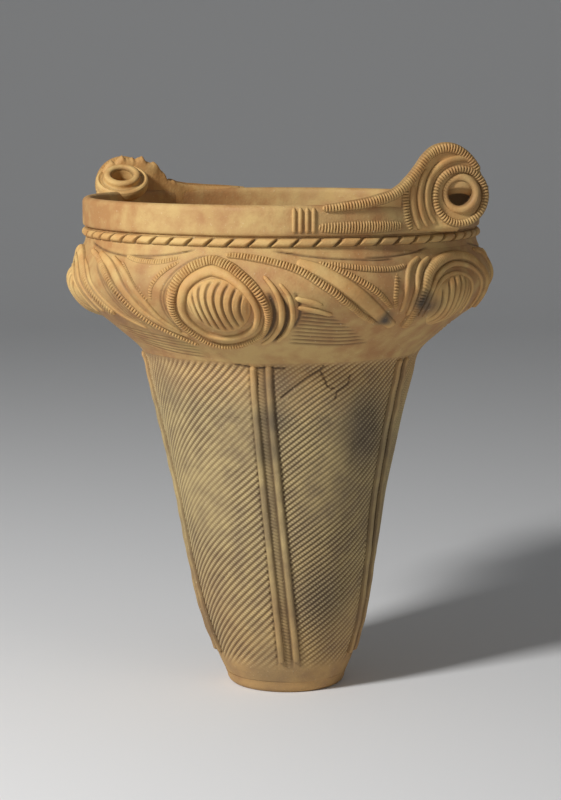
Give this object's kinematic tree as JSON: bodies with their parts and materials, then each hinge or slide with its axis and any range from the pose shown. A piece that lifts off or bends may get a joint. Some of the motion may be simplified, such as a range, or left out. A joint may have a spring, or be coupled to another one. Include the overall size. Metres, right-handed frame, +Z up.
{
  "type": "urn",
  "caption": "Tall fired-clay jar for cooking or storing: slim cord-marked body, wide hollow shoulder with modelled whorls, plain collar, and looped handles that stand on the rim.",
  "frame": {"origin": "centre of the flat foot, on the ground", "axes": "+Z up the jar, +X towards the whole handle, so the chipped handle is at -X and the front whorl is at -Y"},
  "size_m": [0.4795, 0.4324, 0.5625],
  "materials": {
    "foot": "unglazed, smoothed by hand",
    "body": "unglazed, cord marked",
    "shoulder": "unglazed, smoothed and combed",
    "trim": "unglazed, modelled and notched"
  },
  "bodies": {
    "root": {"foot_disc": "foot", "body_course_1": "body", "body_course_2": "body", "body_course_3": "body", "body_course_4": "body", "body_course_5": "body", "body_course_6": "body", "shoulder_underside": "shoulder", "shoulder_top": "shoulder", "neck_band": "shoulder", "neck_rope": "trim", "rim_collar": "shoulder", "whorl_dome_1": "trim", "whorl_ring_1": "trim", "sweep_fillet_1": "trim", "leaf_fillet_1": "trim", "whorl_dome_2": "trim", "whorl_ring_2": "trim", "sweep_fillet_2": "trim", "leaf_fillet_2": "trim", "whorl_dome_3": "trim", "whorl_ring_3": "trim", "sweep_fillet_3": "trim", "leaf_fillet_3": "trim", "whorl_dome_4": "trim", "whorl_ring_4": "trim", "sweep_fillet_4": "trim", "leaf_fillet_4": "trim", "whorl_dome_5": "trim", "whorl_ring_5": "trim", "sweep_fillet_5": "trim", "leaf_fillet_5": "trim", "band_left_1": "body", "band_right_1": "body", "band_left_2": "body", "band_right_2": "body", "band_left_3": "body", "band_right_3": "body", "band_left_4": "body", "band_right_4": "body", "band_left_5": "body", "band_right_5": "body", "handle_wing": "trim", "handle_eyelet": "trim", "handle_inner_disc": "trim", "handle_outer_ring": "trim", "handle_crest_ridge": "trim", "handle_arc_ridge": "trim", "handle_low_band": "trim", "handle_bars": "trim", "chipped_handle_wing": "trim", "chipped_handle_eyelet": "trim", "chipped_handle_inner_disc": "trim", "chipped_handle_outer_ring": "trim", "chipped_handle_crest_ridge": "trim", "chipped_handle_arc_ridge": "trim", "chipped_handle_low_band": "trim", "chipped_handle_bars": "trim"}
  },
  "joints": []
}
